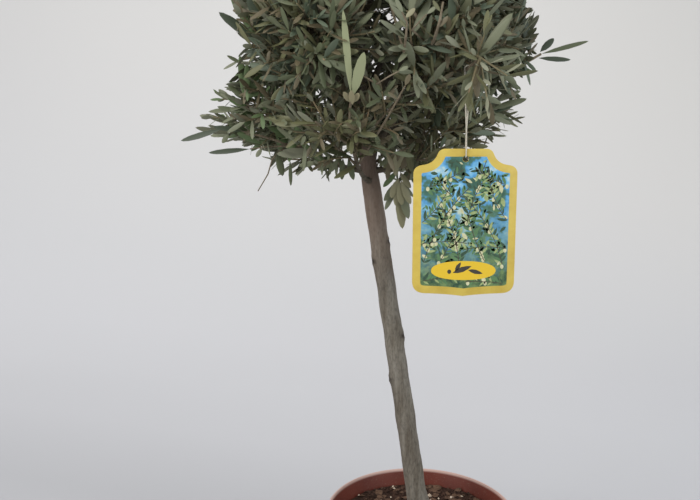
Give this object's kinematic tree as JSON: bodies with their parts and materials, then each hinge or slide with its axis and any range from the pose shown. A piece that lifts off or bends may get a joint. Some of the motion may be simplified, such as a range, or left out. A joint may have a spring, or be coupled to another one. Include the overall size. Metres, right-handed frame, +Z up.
{
  "type": "potted olive tree",
  "caption": "Young olive grown as a standard: a bare leaning stem under a round head of narrow leaves, in a filled round pot, with a picture label on a loop of string.",
  "frame": {"origin": "centre of the pot's flat underside, on the floor", "axes": "+Z up the plant; -Y is the front, which the printed label faces; +X is to the right seen from the front, away from the stem's lean"},
  "size_m": [0.3841, 0.3431, 0.841],
  "materials": {
    "pot_plastic": "satin moulded plastic, terracotta colour",
    "soil": "damp peaty compost, matt",
    "bark": "smooth grey bark, matt",
    "twig_bark": "young grey-brown bark, matt",
    "leaves": "leathery grey-green leaves, silvery below, satin",
    "label_print": "printed plastic card, slightly glossy",
    "string": "pale elastic loop, matt"
  },
  "bodies": {
    "plant": {"pot": "pot_plastic", "soil": "soil", "trunk": "bark", "bough_skirt_front": "twig_bark", "bough_skirt_right": "twig_bark", "bough_skirt_back": "twig_bark", "bough_skirt_left": "twig_bark", "bough_middle_front_right": "twig_bark", "bough_middle_right": "twig_bark", "bough_middle_back_right": "twig_bark", "bough_middle_back_left": "twig_bark", "bough_middle_left": "twig_bark", "bough_middle_front_left": "twig_bark", "bough_upper_front": "twig_bark", "bough_upper_right": "twig_bark", "bough_upper_back_right": "twig_bark", "bough_upper_back_left": "twig_bark", "bough_upper_left": "twig_bark", "bough_top_leader": "twig_bark", "foliage_skirt_front": "leaves", "foliage_skirt_right": "leaves", "foliage_skirt_back": "leaves", "foliage_skirt_left": "leaves", "foliage_middle_front_right": "leaves", "foliage_middle_right": "leaves", "foliage_middle_back_right": "leaves", "foliage_middle_back_left": "leaves", "foliage_middle_left": "leaves", "foliage_middle_front_left": "leaves", "foliage_upper_front": "leaves", "foliage_upper_right": "leaves", "foliage_upper_back_right": "leaves", "foliage_upper_back_left": "leaves", "foliage_upper_left": "leaves", "foliage_top_leader": "leaves"},
    "hanging_label": {"label": "label_print", "label_string": "string"}
  },
  "joints": [
    {"name": "label_swing", "type": "hinge", "parent": "plant", "child": "hanging_label", "pos_m": [0.0225, -0.108, 0.602], "axis": [0, 1, 0], "range_deg": [-20, 20]}
  ]
}
